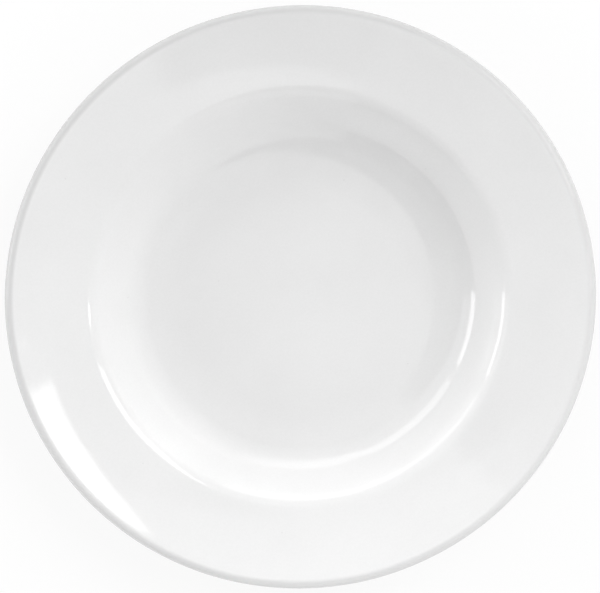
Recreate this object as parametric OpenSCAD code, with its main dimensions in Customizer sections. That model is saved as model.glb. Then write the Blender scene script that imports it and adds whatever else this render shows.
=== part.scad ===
// Rimmed soup plate in glazed porcelain, standing on its foot ring at the origin.
// One section is turned about the vertical axis: the fired clay body, one coat of glaze that
// runs from the well over the lip and down the back to the foot, and one inside the foot ring.
// The ground face that the plate stands on is left bare.

/* [Overall] */
// Diameter over the glazed lip
plate_d = 230; // [210:1:260]

/* [Well] */
// Diameter where the lines of the rim and the wall meet
well_d = 162; // [150:1:180]
// Diameter where the lines of the flat floor and its dished edge meet
floor_d = 103; // [90:1:110]
// Slope of the dished edge, in degrees
dish_slope = 10; // [4:0.5:14]
// Radius of the sweep from the flat floor into the dished edge
dish_sweep_r = 63; // [20:1:70]
// Diameter where the lines of the dished edge and the wall meet
dish_d = 131; // [122:1:138]
// Depth from the corner of the shoulder down to the flat floor
well_depth = 18.5; // [14:0.5:26]
// Rounding between the dished edge and the wall
corner_r = 17; // [8:0.5:20]
// Rounding over the shoulder
shoulder_r = 9; // [4:0.5:12]

/* [Rim] */
// Slope of the rim next to the shoulder, in degrees
rim_in_slope = 9; // [4:0.5:12]
// Slope of the rim next to the lip, in degrees
rim_out_slope = 16; // [13:0.5:20]
// Radius of the sweep between the two slopes
rim_sweep_r = 200; // [60:5:240]
// Rounding of the lip's upper edge
lip_r = 2.6; // [1.4:0.1:3]
// Rounding of the lip's lower edge
under_lip_r = 1.4; // [0.8:0.1:2]

/* [Clay] */
// Thickness of the clay in the rim, the wall and the floor
clay_t = 4.6; // [3.6:0.1:6]
// Rounding under the shoulder
under_shoulder_r = 10; // [5:0.5:14]
// Rounding where the wall turns in under the plate
heel_r = 12; // [4:0.5:13]

/* [Foot ring] */
// Height of the ring below the base
foot_h = 3.2; // [2:0.1:5]
// Distance from the heel in to the ring's outer edge
foot_inset = 8; // [6:0.5:14]
// Width of the ring where it stands
foot_w = 4; // [3:0.1:7]
// Lean of the ring's sides from upright, in degrees
foot_lean = 14; // [4:1:25]
// Rounding of the ring's standing edges
foot_edge_r = 0.8; // [0.3:0.1:1]
// Rounding where the ring meets the base
foot_root_r = 2; // [1:0.1:3]

/* [Glaze] */
// Thickness of the glaze
glaze_t = 0.3; // [0.2:0.05:0.5]
// Height up to which the foot ring is wiped bare
bare_h = 1.2; // [1:0.1:1.6]

/* [Hidden] */

// Largest angle between two neighbouring points of a bend, and the fewest steps in a bend
bend_step = 3;
bend_least = 6;
$fn = 180;

// A section line is a list of corners, each [radius, height, rounding], and the clay is on its right
function spot(corner) = [corner[0], corner[1]];
function last(line) = len(line) - 1;
function is_end(line, i) = i == 0 || i == last(line);
function left_of(v) = [-v[1], v[0]];
function turned(v, angle) = [
    v[0] * cos(angle) - v[1] * sin(angle),
    v[0] * sin(angle) + v[1] * cos(angle)
];
function side(line, i) = norm(spot(line[i + 1]) - spot(line[i]));
function heading(line, i) = (spot(line[i + 1]) - spot(line[i])) / side(line, i);

// Angle through which a line turns at corner i, positive to the left
function turn(line, i) =
    let (before = heading(line, i - 1), after = heading(line, i))
    atan2(cross(before, after), before * after);

// Length that the rounding of corner i takes from each of its sides
function reach(line, i) = is_end(line, i) ? 0 : line[i][2] * tan(abs(turn(line, i)) / 2);

// Rounding of corner i, held to what its two sides have room for
function held(line, i) = line[i][2] * min(
    1,
    side(line, i - 1) / (reach(line, i - 1) + reach(line, i)),
    side(line, i) / (reach(line, i) + reach(line, i + 1))
);

// Points of the arc that rounds corner i
function bend(line, i) =
    let (
        angle = turn(line, i),
        r = held(line, i),
        before = heading(line, i - 1),
        inward = left_of(before) * sign(angle),
        hub = spot(line[i]) - before * r * tan(abs(angle) / 2) + inward * r,
        steps = max(bend_least, ceil(abs(angle) / bend_step))
    )
    [for (k = [0 : steps]) hub - r * turned(inward, angle * k / steps)];

// Points of a whole line, with its corners rounded
function rounded(line) = [
    for (i = [0 : last(line)])
        each (is_end(line, i) || line[i][2] == 0) ? [spot(line[i])] : bend(line, i)
];

// The line moved off the clay by a distance, with every bend kept parallel
function raised(line, d) = [
    for (i = [0 : last(line)])
        let (
            before = heading(line, max(i - 1, 0)),
            after = heading(line, min(i, last(line) - 1)),
            shift = d * (left_of(before) + left_of(after)) / (1 + before * after),
            r = is_end(line, i) || line[i][2] == 0 ? 0 : line[i][2] - d * sign(turn(line, i))
        )
        [line[i][0] + shift[0], line[i][1] + shift[1], r]
];

function reversed(points) = [for (i = [last(points) : -1 : 0]) points[i]];

// Eating face, from the middle of the floor out to the lip
clay_r = plate_d / 2 - glaze_t;
floor_z = foot_h + clay_t;
dish_z = floor_z + (dish_d - floor_d) / 2 * tan(dish_slope);
shoulder_z = floor_z + well_depth;
rim_half = (clay_r - well_d / 2) / 2;
rim_mid_z = shoulder_z + rim_half * tan(rim_in_slope);
lip_z = rim_mid_z + rim_half * tan(rim_out_slope);
face = [
    [0, floor_z, 0],
    [floor_d / 2, floor_z, dish_sweep_r],
    [dish_d / 2, dish_z, corner_r],
    [well_d / 2, shoulder_z, shoulder_r],
    [clay_r - rim_half, rim_mid_z, rim_sweep_r],
    [clay_r, lip_z, lip_r]
];

// Back, from under the lip in to the heel, one thickness of clay behind the face
behind = raised(face, -clay_t);
rim_back = behind[4];
shoulder_back = behind[3];
wall_lean = (well_d - dish_d) / 2 / (shoulder_z - dish_z);
heel_x = shoulder_back[0] - (shoulder_back[1] - foot_h) * wall_lean;
back = [
    [clay_r, lip_z - clay_t / cos(rim_out_slope), under_lip_r],
    rim_back,
    [shoulder_back[0], shoulder_back[1], under_shoulder_r],
    [heel_x, foot_h, heel_r]
];

// Foot ring, down its outer side, across the standing face and up its inner side
foot_out = heel_x - foot_inset;
foot_in = foot_out - foot_w;
foot_flare = foot_h * tan(foot_lean);
bare_flare = bare_h * tan(foot_lean);
foot_outer_root = [foot_out + foot_flare, foot_h, foot_root_r];
outer_glaze_end = [foot_out + bare_flare, bare_h, 0];
foot = [
    [foot_out, 0, foot_edge_r],
    [foot_in, 0, foot_edge_r]
];
inner_glaze_end = [foot_in - bare_flare, bare_h, 0];
foot_inner_root = [foot_in - foot_flare, foot_h, foot_root_r];

// The two stretches of the clay's surface that carry glaze
face_line = concat(face, back, [foot_outer_root, outer_glaze_end]);
base_line = [inner_glaze_end, foot_inner_root, [0, foot_h, 0]];

module coat(line) {
    rotate_extrude()
        polygon(concat(rounded(raised(line, glaze_t)), reversed(rounded(line))));
}

module porcelain_body() {
    color("gainsboro")
        rotate_extrude()
            polygon(rounded(concat(face_line, foot, base_line)));
}

module face_glaze() {
    color("white")
        coat(face_line);
}

module base_glaze() {
    color("white")
        coat(base_line);
}

porcelain_body();
face_glaze();
base_glaze();
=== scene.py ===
"""A rimmed soup plate in white glazed porcelain, seen from straight above in soft studio light."""
import math

import bmesh
import bpy
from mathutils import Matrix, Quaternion, Vector


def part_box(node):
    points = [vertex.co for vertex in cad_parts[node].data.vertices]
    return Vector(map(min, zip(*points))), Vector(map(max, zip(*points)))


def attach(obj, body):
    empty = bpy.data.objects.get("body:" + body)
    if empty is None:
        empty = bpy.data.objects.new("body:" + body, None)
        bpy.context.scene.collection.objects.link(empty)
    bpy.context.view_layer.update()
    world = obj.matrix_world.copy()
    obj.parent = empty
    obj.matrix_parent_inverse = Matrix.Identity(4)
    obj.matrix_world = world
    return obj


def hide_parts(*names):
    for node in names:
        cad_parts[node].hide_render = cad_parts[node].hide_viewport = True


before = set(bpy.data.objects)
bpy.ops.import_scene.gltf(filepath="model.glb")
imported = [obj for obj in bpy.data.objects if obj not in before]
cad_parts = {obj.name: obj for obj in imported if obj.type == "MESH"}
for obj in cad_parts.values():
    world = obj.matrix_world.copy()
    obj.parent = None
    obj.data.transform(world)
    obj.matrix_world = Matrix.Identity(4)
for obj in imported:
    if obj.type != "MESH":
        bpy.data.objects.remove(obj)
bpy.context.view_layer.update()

MM = 0.001

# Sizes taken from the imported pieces
GLAZE_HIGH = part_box("face_glaze")[1]
PLATE_R = GLAZE_HIGH.x
CLAY_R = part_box("porcelain_body")[1].x
GLAZE_T = PLATE_R - CLAY_R
FOOT_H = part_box("base_glaze")[1].z

# Section of the eating face: corners of its straight lines and the roundings between them
WELL_R = 81 * MM
FLOOR_R = 51.5 * MM
DISH_SLOPE = math.radians(10)
DISH_SWEEP_R = 63 * MM
DISH_R = 65.5 * MM
WELL_DEPTH = 18.5 * MM
CORNER_R = 17 * MM
SHOULDER_R = 9 * MM
RIM_IN_SLOPE = math.radians(9)
RIM_OUT_SLOPE = math.radians(16)
RIM_SWEEP_R = 200 * MM
LIP_R = 2.6 * MM
UNDER_LIP_R = 1.4 * MM

# Section of the back and the foot ring
CLAY_T = 4.6 * MM
UNDER_SHOULDER_R = 10 * MM
HEEL_R = 12 * MM
FOOT_INSET = 8 * MM
FOOT_W = 4 * MM
FOOT_LEAN = math.radians(14)
FOOT_EDGE_R = 0.8 * MM
FOOT_ROOT_R = 2 * MM
BARE_H = 1.2 * MM
GLAZE_EDGE_R = 0.18 * MM

# Turning: how finely a section is cut, and how far the kiln drew the plate out of true
TURN_SEGMENTS = 240
TURNING_R = 100 * MM
BEND_STEP = math.radians(3)
BEND_LEAST = 6
STRAIGHT_STEP = 4.8 * MM
MERGE_GAP = 0.002 * MM
OVAL_SHARE = 0.0079
OVAL_HEADING = math.radians(16.5)
WARP_HEIGHT = 0.20 * MM
WARP_SIZE = 45 * MM
WARP_FULL_Z = 20 * MM
SEED = 7

# Tone of the glaze: a slow drift, a fine mottle and small specks
GLAZE_TONE = 0.812
GLAZE_DRIFT = 0.012
DRIFT_SCALE = 28.0
MOTTLE = 0.010
MOTTLE_SCALE = 1100.0
SPECK_R = 0.35 * MM
SPECK_SPACING = 14 * MM
SPECK_TONE = 0.90

# Gloss of the glaze, which use has dulled in a patch off the middle of the well, and its orange peel
GLAZE_IOR = 1.5
RIM_ROUGHNESS = 0.06
WELL_ROUGHNESS = 0.26
FRESH_SPECULAR = 0.5
DULL_SPECULAR = 0.16
WEAR_CENTRE = (-9 * MM, -8 * MM, 0)
WEAR_R = 52 * MM
WEAR_FADE = 8 * MM
PEEL_SCALE = 260.0
PEEL_STRENGTH = 0.25
PEEL_DEPTH = 0.02 * MM

# Painted shade over the lip, darkest towards one side; the glaze's gloss is dulled there too
LIP_SHADE_IN = 4.0 * MM
LIP_SHADE_FULL = 2.2 * MM
LIP_SHADE_TONE = 0.74
LIP_SHADE_HEADING = math.radians(105)

# Bare clay of the foot ring: two tones, each at its place on the ramp of grain and rub marks
CLAY_GREY = (0.66, 0.64, 0.61, 1)
CLAY_GREY_AT = 0.12
CLAY_PALE = (0.80, 0.79, 0.77, 1)
CLAY_PALE_AT = 0.30
CLAY_SMOOTHEST = 0.75
CLAY_ROUGHEST = 0.95
CLAY_GRAIN_SCALE = 1800.0
CLAY_RUB_SCALE = 90.0
CLAY_GRAIN_STRENGTH = 0.5
CLAY_GRAIN_DEPTH = 0.05 * MM

# Values between which most of a noise lies
NOISE_LOW = 0.3
NOISE_HIGH = 0.7

# Framing of the photograph, in its pixels: the plate's radius and its place from the middle
IMAGE_W = 600
PLATE_R_PX = 293.7
PLATE_RIGHT_PX = 0.45
PLATE_BELOW_PX = 0.33
CAMERA_Z = 1.5
SENSOR_W = 36.0

# Floor, and the share of its look that takes light and shadow
FLOOR_HALF = 4.0
FLOOR_TONE = 0.4
FLOOR_SHADOW = 0.12

# Light that comes from all round: its level, and how it leans along each axis
ROOM_LEVEL = 0.55
ROOM_LEAN = (0.0, 0.265, -0.29)

# Darker side of the studio, as the gloss sees it: how far it spreads either way of its heading, high up
# and low down, where its top starts to draw in and where it ends, and how ragged and soft its edge is
DARK_LEVEL = 0.0
DARK_HEADING = math.radians(218)
DARK_SPREAD = math.radians(83)
DARK_LOW_SPREAD = math.radians(38)
DARK_LOW = math.radians(42)
DARK_HIGH = math.radians(60)
DARK_TOP_HEADING = math.radians(187)
DARK_TOP_START = math.radians(66)
DARK_TOP_END = math.radians(80)
DARK_RAG = 0.2
DARK_RAG_SCALE = 26.0
DARK_RAG_DETAIL = 3.0
DARK_SOFT = 0.008

# Panels that show in the gloss: name, headings and elevations in degrees, glow, and a roll in degrees
LAMP_WATTS = 4.0
LAMP_DISTANCE = 4.0
LAMPS = [
    ("window_right", (55, 70), (5, 38), 0.15),
    ("window_top", (70, 110), (5, 34), 1.25),
    ("window_left", (110, 150), (5, 28), 1.5),
    ("side_window", (156, 181), (5, 20), 3.2),
    ("wall_middle", (20, 35), (3, 26), 0.22),
    ("wall_high", (35, 55), (3, 40), 0.26),
    ("softbox", (20, 59), (45, 67), 3.4, -14),
    ("glint", (1, 8), (55, 63), 6.0),
    ("tick", (9.8, 10.4), (61.5, 65.5), 4.5),
    ("ceiling", (62, 138), (50, 76), 0.33),
]

# Panels that only fill the shadows
FILLS = [
    ("fill_right", (-75, 5), (8, 50), 0.58),
    ("fill_bottom", (205, 285), (8, 50), 1.0),
    ("fill_wall", (5, 55), (4, 45), 1.0),
    ("fill_low", (200, 300), (0.3, 5), 0.6),
    ("fill_left", (140, 200), (0.3, 5), 5.0),
]


# Nodes


def grow(tree, kind, sockets=None, **settings):
    """A new node with its settings made and its sockets filled, each by a value or another socket."""
    node = tree.nodes.new(kind)
    for name, value in settings.items():
        setattr(node, name, value)
    for key, value in (sockets or {}).items():
        if isinstance(value, bpy.types.NodeSocket):
            tree.links.new(value, node.inputs[key])
        else:
            node.inputs[key].default_value = value
    return node


def reckon(tree, operation, *values):
    """A sum on numbers, each a value or a socket."""
    return grow(tree, "ShaderNodeMath", dict(enumerate(values)), operation=operation).outputs[0]


def reckon_vector(tree, operation, *values, result="Vector"):
    """A sum on vectors, each a value or a socket."""
    node = grow(tree, "ShaderNodeVectorMath", dict(enumerate(values)), operation=operation)
    return node.outputs[result]


def scaled(tree, vector, factor):
    """A vector made longer or shorter."""
    node = grow(tree, "ShaderNodeVectorMath", {0: vector, "Scale": factor}, operation="SCALE")
    return node.outputs["Vector"]


def ranged(tree, value, low, high, start=0.0, end=1.0):
    """Runs from low to high while the value runs from its start to its end."""
    return grow(tree, "ShaderNodeMapRange", {
        "Value": value,
        "From Min": start,
        "From Max": end,
        "To Min": low,
        "To Max": high,
    }).outputs["Result"]


def fade(tree, value, start, end):
    """Rises smoothly from 0 where the value is at its start to 1 at its end."""
    return grow(tree, "ShaderNodeMapRange", {
        "Value": value,
        "From Min": start,
        "From Max": end,
    }, interpolation_type="SMOOTHSTEP").outputs["Result"]


def noise(tree, place, scale, detail):
    """A soft random pattern in space."""
    return grow(tree, "ShaderNodeTexNoise", {
        "Vector": place,
        "Scale": scale,
        "Detail": detail,
    }).outputs["Fac"]


def level_part(tree, vector):
    """A vector without its height."""
    return reckon_vector(tree, "MULTIPLY", vector, (1, 1, 0))


def towards(tree, way, azimuth):
    """Cosine of the angle between the level part of a direction and a heading."""
    level = reckon_vector(tree, "NORMALIZE", level_part(tree, way))
    heading_way = (math.cos(azimuth), math.sin(azimuth), 0)
    return reckon_vector(tree, "DOT_PRODUCT", level, heading_way, result="Value")


# Section lines: lists of corners, each (radius, height, rounding), with the clay on the right


def heading(line, i):
    """Direction of the side that leaves corner i."""
    run = Vector(line[i + 1][:2]) - Vector(line[i][:2])
    return run.normalized()


def turn(line, i):
    """Angle through which the line turns at corner i, positive to the left."""
    before = heading(line, i - 1)
    after = heading(line, i)
    return math.atan2(before.x * after.y - before.y * after.x, before.dot(after))


def raised(line, distance):
    """The line moved off the clay by a distance, with every bend kept parallel."""
    last = len(line) - 1
    moved = []
    for i, (radius, height, rounding) in enumerate(line):
        before = heading(line, max(i - 1, 0))
        after = heading(line, min(i, last - 1))
        side = Vector((-before.y - after.y, before.x + after.x))
        shift = distance * side / (1 + before.dot(after))
        is_end = i in (0, last)
        if is_end:
            rounding = 0
        elif rounding:
            rounding -= distance * math.copysign(1, turn(line, i))
        moved.append((radius + shift.x, height + shift.y, rounding))
    return moved


def eating_face():
    """From the middle of the floor out to the lip."""
    floor_z = FOOT_H + CLAY_T
    dish_z = floor_z + (DISH_R - FLOOR_R) * math.tan(DISH_SLOPE)
    shoulder_z = floor_z + WELL_DEPTH
    rim_half = (CLAY_R - WELL_R) / 2
    rim_mid_z = shoulder_z + rim_half * math.tan(RIM_IN_SLOPE)
    lip_z = rim_mid_z + rim_half * math.tan(RIM_OUT_SLOPE)
    return [
        (0, floor_z, 0),
        (FLOOR_R, floor_z, DISH_SWEEP_R),
        (DISH_R, dish_z, CORNER_R),
        (WELL_R, shoulder_z, SHOULDER_R),
        (CLAY_R - rim_half, rim_mid_z, RIM_SWEEP_R),
        (CLAY_R, lip_z, LIP_R),
    ]


def plate_back(face):
    """From under the lip in to the heel, one thickness of clay behind the face."""
    rim_back, shoulder_back = raised(face, -CLAY_T)[4:2:-1]
    wall = heading(face, 2)
    shoulder_r, shoulder_z = shoulder_back[:2]
    heel_x = shoulder_r - (shoulder_z - FOOT_H) * wall.x / wall.y
    under_lip_z = face[-1][1] - CLAY_T / math.cos(RIM_OUT_SLOPE)
    return [
        (CLAY_R, under_lip_z, UNDER_LIP_R),
        rim_back,
        (shoulder_r, shoulder_z, UNDER_SHOULDER_R),
        (heel_x, FOOT_H, HEEL_R),
    ]


def section_lines():
    """The line under the face glaze, the bare foot, and the line under the base glaze."""
    face = eating_face()
    back = plate_back(face)
    foot_out = back[-1][0] - FOOT_INSET
    foot_in = foot_out - FOOT_W
    flare = FOOT_H * math.tan(FOOT_LEAN)
    bare_flare = BARE_H * math.tan(FOOT_LEAN)
    face_line = face + back + [
        (foot_out + flare, FOOT_H, FOOT_ROOT_R),
        (foot_out + bare_flare, BARE_H, 0),
    ]
    foot = [(foot_out, 0, FOOT_EDGE_R), (foot_in, 0, FOOT_EDGE_R)]
    base_line = [
        (foot_in - bare_flare, BARE_H, 0),
        (foot_in - flare, FOOT_H, FOOT_ROOT_R),
        (0, FOOT_H, 0),
    ]
    return face_line, foot, base_line


def soft_edge(corner):
    """A corner at the glaze's melted edge."""
    return (corner[0], corner[1], GLAZE_EDGE_R)


def face_coat(line):
    """Out along the top of the coat and back along the clay, from the axis to the axis."""
    top = raised(line, GLAZE_T)
    return top[:-1] + [soft_edge(top[-1])] + line[::-1]


def base_coat(line):
    """Out along the clay and back along the coat that hangs under it, from the axis to the axis."""
    low = raised(line, GLAZE_T)
    return line[::-1] + [soft_edge(low[0])] + low[1:]


# Turning a section into a piece


def turning_tree():
    """Rounds a section's corners, turns it about the upright axis and draws it a little out of true."""
    tree = bpy.data.node_groups.new("turned_section", "GeometryNodeTree")
    floats = ["Turning radius", "Straight step", "Oval share", "Oval heading"]
    floats += ["Warp height", "Warp size", "Warp full height", "Seed"]
    tree.interface.new_socket("Section", in_out="INPUT", socket_type="NodeSocketGeometry")
    tree.interface.new_socket("Turn segments", in_out="INPUT", socket_type="NodeSocketInt")
    for name in floats:
        tree.interface.new_socket(name, in_out="INPUT", socket_type="NodeSocketFloat")
    tree.interface.new_socket("Finish", in_out="INPUT", socket_type="NodeSocketMaterial")
    tree.interface.new_socket("Piece", in_out="OUTPUT", socket_type="NodeSocketGeometry")
    given = tree.nodes.new("NodeGroupInput").outputs
    place = grow(tree, "GeometryNodeInputPosition").outputs["Position"]

    section = rounded_section(tree, given, place)
    turned = turned_once(tree, given, section)
    fired = grow(tree, "GeometryNodeSetPosition", {
        "Geometry": turned,
        "Offset": kiln_draw(tree, given, place),
    })
    smooth = grow(tree, "GeometryNodeSetShadeSmooth", {"Geometry": fired.outputs["Geometry"]})
    real = grow(tree, "GeometryNodeRealizeInstances", {"Geometry": smooth.outputs["Geometry"]})
    finished = grow(tree, "GeometryNodeSetMaterial", {
        "Geometry": real.outputs["Geometry"],
        "Material": given["Finish"],
    })
    grow(tree, "NodeGroupOutput", {"Piece": finished.outputs["Geometry"]})
    return tree


def rounded_section(tree, given, place):
    """The section with its corners made arcs, and with points of their own on long straights."""
    line = grow(tree, "GeometryNodeMeshToCurve", {"Mesh": given["Section"]})
    rounding = grow(tree, "GeometryNodeInputNamedAttribute", {"Name": "rounding"}, data_type="FLOAT")
    bends = grow(tree, "GeometryNodeInputNamedAttribute", {"Name": "bends"}, data_type="INT")
    rounded = grow(tree, "GeometryNodeFilletCurve", {
        "Curve": line.outputs["Curve"],
        "Count": bends.outputs["Attribute"],
        "Radius": rounding.outputs["Attribute"],
        "Limit Radius": True,
    }, mode="POLY")
    number = grow(tree, "GeometryNodeInputIndex").outputs["Index"]
    next_place = grow(tree, "GeometryNodeFieldAtIndex", {
        "Index": reckon(tree, "ADD", number, 1.0),
        "Value": place,
    }, data_type="FLOAT_VECTOR").outputs["Value"]
    side = reckon_vector(tree, "DISTANCE", place, next_place, result="Value")
    stepped = grow(tree, "GeometryNodeSubdivideCurve", {
        "Curve": rounded.outputs["Curve"],
        "Cuts": reckon(tree, "DIVIDE", side, given["Straight step"]),
    })
    return stepped.outputs["Curve"]


def turned_once(tree, given, section):
    """One turn of the section about the axis, with the seam and the poles closed."""
    circle = grow(tree, "GeometryNodeCurvePrimitiveCircle", {
        "Resolution": given["Turn segments"],
        "Radius": given["Turning radius"],
    }, mode="RADIUS")
    upright = grow(tree, "GeometryNodeSetCurveNormal", {"Curve": circle.outputs["Curve"]}, mode="Z_UP")
    turned = grow(tree, "GeometryNodeCurveToMesh", {
        "Curve": upright.outputs["Curve"],
        "Profile Curve": section,
    })
    closed = grow(tree, "GeometryNodeMergeByDistance", {
        "Geometry": turned.outputs["Mesh"],
        "Distance": MERGE_GAP,
    })
    return closed.outputs["Geometry"]


def kiln_draw(tree, given, place):
    """How far each point is drawn: longer along one heading, and a slow warp that grows with height."""
    mirrored = reckon_vector(tree, "MULTIPLY", place, (1, -1, 0))
    swung = grow(tree, "ShaderNodeVectorRotate", {
        "Vector": mirrored,
        "Angle": reckon(tree, "MULTIPLY", given["Oval heading"], 2.0),
    }, rotation_type="Z_AXIS")
    oval = scaled(tree, swung.outputs["Vector"], given["Oval share"])

    wave = grow(tree, "ShaderNodeTexNoise", {
        "Vector": place,
        "W": given["Seed"],
        "Scale": reckon(tree, "DIVIDE", 1.0, given["Warp size"]),
        "Detail": 1.0,
    }, noise_dimensions="4D")
    centred = reckon_vector(tree, "SUBTRACT", wave.outputs["Color"], (0.5, 0.5, 0.5))
    height = grow(tree, "ShaderNodeSeparateXYZ", {"Vector": place}).outputs["Z"]
    share = grow(tree, "ShaderNodeMath", {
        0: height,
        1: given["Warp full height"],
    }, operation="DIVIDE", use_clamp=True).outputs[0]
    reach = reckon(tree, "MULTIPLY", share, given["Warp height"])
    warp = scaled(tree, centred, reckon(tree, "MULTIPLY", reach, 2.0))
    return reckon_vector(tree, "ADD", oval, warp)


def section_mesh(name, corners):
    """The section's corners as a chain of edges, with X outwards and Y downwards, as it is turned."""
    mesh = bpy.data.meshes.new(name)
    points = [(radius - TURNING_R, -height, 0) for radius, height, _ in corners]
    mesh.from_pydata(points, [(i, i + 1) for i in range(len(points) - 1)], [])
    rounding = mesh.attributes.new("rounding", "FLOAT", "POINT")
    bends = mesh.attributes.new("bends", "INT", "POINT")
    for i, corner in enumerate(corners):
        rounding.data[i].value = corner[2]
        bends.data[i].value = 1
        if corner[2]:
            steps = math.ceil(abs(turn(corners, i)) / BEND_STEP)
            bends.data[i].value = max(BEND_LEAST, steps)
    return mesh


def turned_piece(name, corners, tree, finish):
    """A finished plain mesh turned from a section."""
    piece = bpy.data.objects.new(name, section_mesh(name + "_section", corners))
    bpy.context.scene.collection.objects.link(piece)
    turning = piece.modifiers.new("turning", "NODES")
    turning.node_group = tree
    sizes = {
        "Turn segments": TURN_SEGMENTS,
        "Turning radius": TURNING_R,
        "Straight step": STRAIGHT_STEP,
        "Oval share": OVAL_SHARE,
        "Oval heading": OVAL_HEADING,
        "Warp height": WARP_HEIGHT,
        "Warp size": WARP_SIZE,
        "Warp full height": WARP_FULL_Z,
        "Seed": float(SEED),
        "Finish": finish,
    }
    for socket in tree.interface.items_tree:
        if socket.name in sizes:
            turning[socket.identifier] = sizes[socket.name]
    ready = piece.evaluated_get(bpy.context.evaluated_depsgraph_get())
    mesh = bpy.data.meshes.new_from_object(ready)
    mesh.name = name
    piece.modifiers.remove(turning)
    piece.data = mesh
    face_outwards(mesh)
    return piece


def face_outwards(mesh):
    """Turns every face of a closed mesh outwards."""
    shape = bmesh.new()
    shape.from_mesh(mesh)
    bmesh.ops.recalc_face_normals(shape, faces=shape.faces)
    shape.to_mesh(mesh)
    shape.free()


# Finishes


def new_finish(name):
    """A material with its tree, its shader and the object's own coordinates."""
    finish = bpy.data.materials.new(name)
    finish.use_nodes = True
    tree = finish.node_tree
    shader = tree.nodes["Principled BSDF"]
    place = grow(tree, "ShaderNodeTexCoord").outputs["Object"]
    return finish, tree, shader, place


def turned_radius(tree, place):
    """Distance from the axis, as it was before the kiln drew the plate oval."""
    round_place = grow(tree, "ShaderNodeMapping", {
        "Vector": place,
        "Rotation": (0, 0, OVAL_HEADING),
        "Scale": (1 + OVAL_SHARE, 1 - OVAL_SHARE, 1),
    }, vector_type="TEXTURE").outputs["Vector"]
    return reckon_vector(tree, "LENGTH", level_part(tree, round_place), result="Value")


def glaze_tone(tree, place):
    """Tone of the glaze: a slow drift, a fine mottle and a few specks."""
    drift = noise(tree, place, DRIFT_SCALE, 4.0)
    palest = GLAZE_TONE + GLAZE_DRIFT
    slow = ranged(tree, drift, GLAZE_TONE - GLAZE_DRIFT, palest, NOISE_LOW, NOISE_HIGH)
    grain = noise(tree, place, MOTTLE_SCALE, 2.0)
    fine = ranged(tree, grain, 1 - MOTTLE, 1 + MOTTLE, NOISE_LOW, NOISE_HIGH)
    cells = grow(tree, "ShaderNodeTexVoronoi", {"Vector": place, "Scale": 1 / SPECK_SPACING})
    speck_edge = SPECK_R / SPECK_SPACING
    speck = ranged(tree, cells.outputs["Distance"], SPECK_TONE, 1.0, speck_edge / 2, speck_edge)
    mottled = reckon(tree, "MULTIPLY", slow, fine)
    return reckon(tree, "MULTIPLY", mottled, speck)


def lip_painted_shade(tree, place):
    """How much painted shade the lip gets, from 0 to 1: over the lip, and more towards one side."""
    lip = fade(tree, turned_radius(tree, place), PLATE_R - LIP_SHADE_IN, PLATE_R - LIP_SHADE_FULL)
    share = ranged(tree, towards(tree, place, LIP_SHADE_HEADING), 0.0, 1.0, start=-1.0)
    return reckon(tree, "MULTIPLY", lip, share)


def worn_patch(tree, place):
    """How far use has dulled the well, from 0 to 1."""
    from_centre = level_part(tree, reckon_vector(tree, "SUBTRACT", place, WEAR_CENTRE))
    distance = reckon_vector(tree, "LENGTH", from_centre, result="Value")
    return fade(tree, distance, WEAR_R + WEAR_FADE, WEAR_R)


def white_glaze():
    """Clear gloss glaze over white clay, with orange peel, wear in the well and painted shade on the
    lip.
    """
    finish, tree, shader, place = new_finish("white_glaze")
    shader.inputs["IOR"].default_value = GLAZE_IOR
    # Painted shade on the lip, darkest towards one side; the same mask also dulls the gloss there
    lip_shade = lip_painted_shade(tree, place)
    tone = grow(tree, "ShaderNodeMix", {
        "Factor": lip_shade,
        "A": glaze_tone(tree, place),
        "B": GLAZE_TONE * LIP_SHADE_TONE,
    }, data_type="FLOAT").outputs["Result"]
    colour = grow(tree, "ShaderNodeCombineColor", {"Red": tone, "Green": tone, "Blue": tone})
    wear = worn_patch(tree, place)
    rough = ranged(tree, wear, RIM_ROUGHNESS, WELL_ROUGHNESS)
    dulled = reckon(tree, "MAXIMUM", wear, lip_shade)
    gloss = ranged(tree, dulled, FRESH_SPECULAR, DULL_SPECULAR)
    peel = grow(tree, "ShaderNodeBump", {
        "Height": noise(tree, place, PEEL_SCALE, 2.0),
        "Strength": PEEL_STRENGTH,
        "Distance": PEEL_DEPTH,
    })
    tree.links.new(colour.outputs["Color"], shader.inputs["Base Color"])
    tree.links.new(rough, shader.inputs["Roughness"])
    tree.links.new(gloss, shader.inputs["Specular IOR Level"])
    tree.links.new(peel.outputs["Normal"], shader.inputs["Normal"])
    return finish


def bare_porcelain():
    """Unglazed fired clay: matte, a little warm, with a fine grain and grey rub marks."""
    finish, tree, shader, place = new_finish("bare_porcelain")
    grain = noise(tree, place, CLAY_GRAIN_SCALE, 3.0)
    rub = noise(tree, place, CLAY_RUB_SCALE, 5.0)
    tone = grow(tree, "ShaderNodeValToRGB", {"Fac": reckon(tree, "MULTIPLY", grain, rub)})
    grey, pale = tone.color_ramp.elements
    grey.position = CLAY_GREY_AT
    grey.color = CLAY_GREY
    pale.position = CLAY_PALE_AT
    pale.color = CLAY_PALE
    rough = ranged(tree, rub, CLAY_SMOOTHEST, CLAY_ROUGHEST)
    bump = grow(tree, "ShaderNodeBump", {
        "Height": grain,
        "Strength": CLAY_GRAIN_STRENGTH,
        "Distance": CLAY_GRAIN_DEPTH,
    })
    tree.links.new(tone.outputs["Color"], shader.inputs["Base Color"])
    tree.links.new(rough, shader.inputs["Roughness"])
    tree.links.new(bump.outputs["Normal"], shader.inputs["Normal"])
    return finish


# Floor, light and camera


def sight_rays(tree):
    """1 for rays that see the background straight, in gloss or through glass, and 0 for light."""
    path = grow(tree, "ShaderNodeLightPath").outputs
    seen = reckon(tree, "MAXIMUM", path["Is Camera Ray"], path["Is Glossy Ray"])
    return reckon(tree, "MAXIMUM", seen, path["Is Transmission Ray"])


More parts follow.
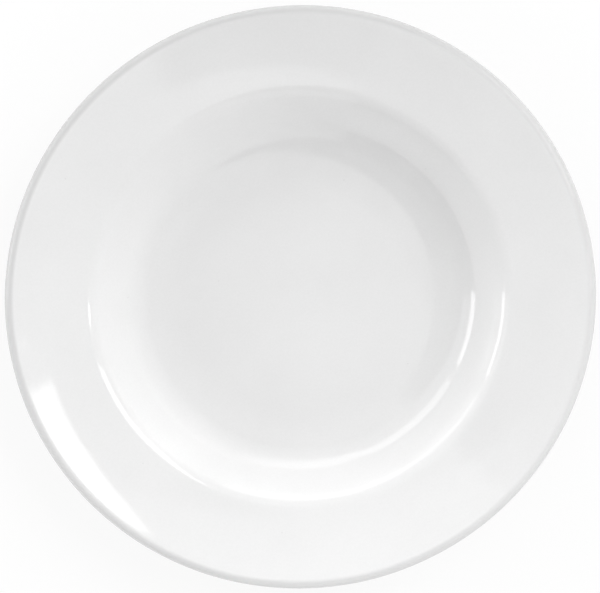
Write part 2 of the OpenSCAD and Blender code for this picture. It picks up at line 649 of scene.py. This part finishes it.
def table_top():
    """A pale floor that reads as white and keeps a faint shadow of the plate."""
    table = bpy.data.materials.new("table_top")
    table.use_nodes = True
    tree = table.node_tree
    tree.nodes.clear()
    lit = grow(tree, "ShaderNodeBsdfDiffuse", {"Color": (FLOOR_TONE, FLOOR_TONE, FLOOR_TONE, 1)})
    shaded = grow(tree, "ShaderNodeBsdfDiffuse", {"Color": (1, 1, 1, 1)})
    white = grow(tree, "ShaderNodeEmission", {"Strength": 1.0})
    seen = grow(tree, "ShaderNodeMixShader", {
        0: FLOOR_SHADOW,
        1: white.outputs[0],
        2: shaded.outputs[0],
    })
    floor = grow(tree, "ShaderNodeMixShader", {
        0: sight_rays(tree),
        1: lit.outputs[0],
        2: seen.outputs[0],
    })
    grow(tree, "ShaderNodeOutputMaterial", {"Surface": floor.outputs[0]})
    return table


def lay_floor():
    """The floor under the foot ring."""
    corners = [
        (-FLOOR_HALF, -FLOOR_HALF, 0),
        (FLOOR_HALF, -FLOOR_HALF, 0),
        (FLOOR_HALF, FLOOR_HALF, 0),
        (-FLOOR_HALF, FLOOR_HALF, 0),
    ]
    mesh = bpy.data.meshes.new("floor")
    mesh.from_pydata(corners, [], [(0, 1, 2, 3)])
    mesh.materials.append(table_top())
    floor = bpy.data.objects.new("floor", mesh)
    bpy.context.scene.collection.objects.link(floor)


def dark_side(tree, way):
    """How far a direction lies in the studio's darker side, from 0 to 1, with a ragged edge."""
    height = grow(tree, "ShaderNodeSeparateXYZ", {"Vector": way}).outputs["Z"]
    spread = ranged(
        tree, height,
        low=math.cos(DARK_LOW_SPREAD), high=math.cos(DARK_SPREAD),
        start=math.sin(DARK_LOW), end=math.sin(DARK_HIGH),
    )
    top_spread = ranged(
        tree, height,
        low=-1.0, high=1.0,
        start=math.sin(DARK_TOP_START), end=math.sin(DARK_TOP_END),
    )
    within = reckon(tree, "SUBTRACT", towards(tree, way, DARK_HEADING), spread)
    below = reckon(tree, "SUBTRACT", towards(tree, way, DARK_TOP_HEADING), top_spread)
    inside = reckon(tree, "MINIMUM", within, below)
    rag = reckon(tree, "SUBTRACT", noise(tree, way, DARK_RAG_SCALE, DARK_RAG_DETAIL), 0.5)
    edge = reckon(tree, "MULTIPLY_ADD", rag, DARK_RAG, inside)
    return fade(tree, edge, -DARK_SOFT, DARK_SOFT)


def room_light():
    """Dim light from all round, which reads as white behind the plate and dark in part in its gloss."""
    world = bpy.data.worlds.new("room")
    bpy.context.scene.world = world
    world.use_nodes = True
    tree = world.node_tree
    background = tree.nodes["Background"]
    way = grow(tree, "ShaderNodeTexCoord").outputs["Generated"]
    lean = reckon_vector(tree, "DOT_PRODUCT", way, ROOM_LEAN, result="Value")
    lit = reckon(tree, "ADD", lean, ROOM_LEVEL)
    glossy = grow(tree, "ShaderNodeLightPath").outputs["Is Glossy Ray"]
    dark = reckon(tree, "MULTIPLY", glossy, dark_side(tree, way))
    level = grow(tree, "ShaderNodeMix", {
        "Factor": sight_rays(tree),
        "A": lit,
        "B": ranged(tree, dark, 1.0, DARK_LEVEL),
    }, data_type="FLOAT").outputs["Result"]
    tree.links.new(level, background.inputs["Strength"])
    background.inputs["Color"].default_value = (1, 1, 1, 1)


def lamp(name, headings, elevations, glow, roll=0, mirrored=True):
    """A soft panel that fills a patch of the studio as the plate sees it, in degrees.

    Its glow is its brightness, on which 1 is white, and its roll turns it in its own plane. A panel
    that isn't mirrored lights the plate without an image of itself in the gloss.
    """
    azimuth = math.radians(sum(headings) / 2)
    elevation = math.radians(sum(elevations) / 2)
    out = Vector((
        math.cos(elevation) * math.cos(azimuth),
        math.cos(elevation) * math.sin(azimuth),
        math.sin(elevation),
    ))
    across = math.radians(headings[1] - headings[0]) * math.cos(elevation)
    upwards = math.radians(elevations[1] - elevations[0])
    light = bpy.data.lights.new(name, "AREA")
    light.shape = "RECTANGLE"
    light.size = 2 * LAMP_DISTANCE * math.tan(across / 2)
    light.size_y = 2 * LAMP_DISTANCE * math.tan(upwards / 2)
    light.energy = LAMP_WATTS * glow * light.size * light.size_y
    panel = bpy.data.objects.new(name, light)
    panel.location = out * LAMP_DISTANCE
    facing = out.to_track_quat("Z", "Y") @ Quaternion((0, 0, 1), math.radians(roll))
    panel.rotation_euler = facing.to_euler()
    panel.visible_camera = False
    panel.visible_glossy = mirrored
    bpy.context.scene.collection.objects.link(panel)


def set_camera():
    """Straight above the plate, with the top of the picture towards +Y."""
    camera = bpy.data.cameras.new("camera")
    camera.sensor_fit = "HORIZONTAL"
    camera.sensor_width = SENSOR_W
    distance = CAMERA_Z - (GLAZE_HIGH.z - LIP_R)
    camera.lens = SENSOR_W * PLATE_R_PX / IMAGE_W * distance / PLATE_R
    camera.shift_x = -PLATE_RIGHT_PX / IMAGE_W
    camera.shift_y = PLATE_BELOW_PX / IMAGE_W
    eye = bpy.data.objects.new("camera", camera)
    eye.location = (0, 0, CAMERA_Z)
    bpy.context.scene.collection.objects.link(eye)
    bpy.context.scene.camera = eye


# The plate, in the order of its making

tree = turning_tree()
face_line, foot, base_line = section_lines()
glaze = white_glaze()
clay = bare_porcelain()
pieces = [
    ("plate_clay", face_line + foot + base_line, clay, "porcelain_body", "bare_porcelain"),
    ("plate_face_glaze", face_coat(face_line), glaze, "face_glaze", "white_glaze"),
    ("plate_base_glaze", base_coat(base_line), glaze, "base_glaze", "white_glaze"),
]
for name, corners, finish, node, slot in pieces:
    piece = turned_piece(name, corners, tree, finish)
    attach(piece, "root")
    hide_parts(node)

# The studio

lay_floor()
room_light()
for settings in LAMPS:
    lamp(*settings)
for settings in FILLS:
    lamp(*settings, mirrored=False)
set_camera()
bpy.context.scene.view_settings.view_transform = "Standard"
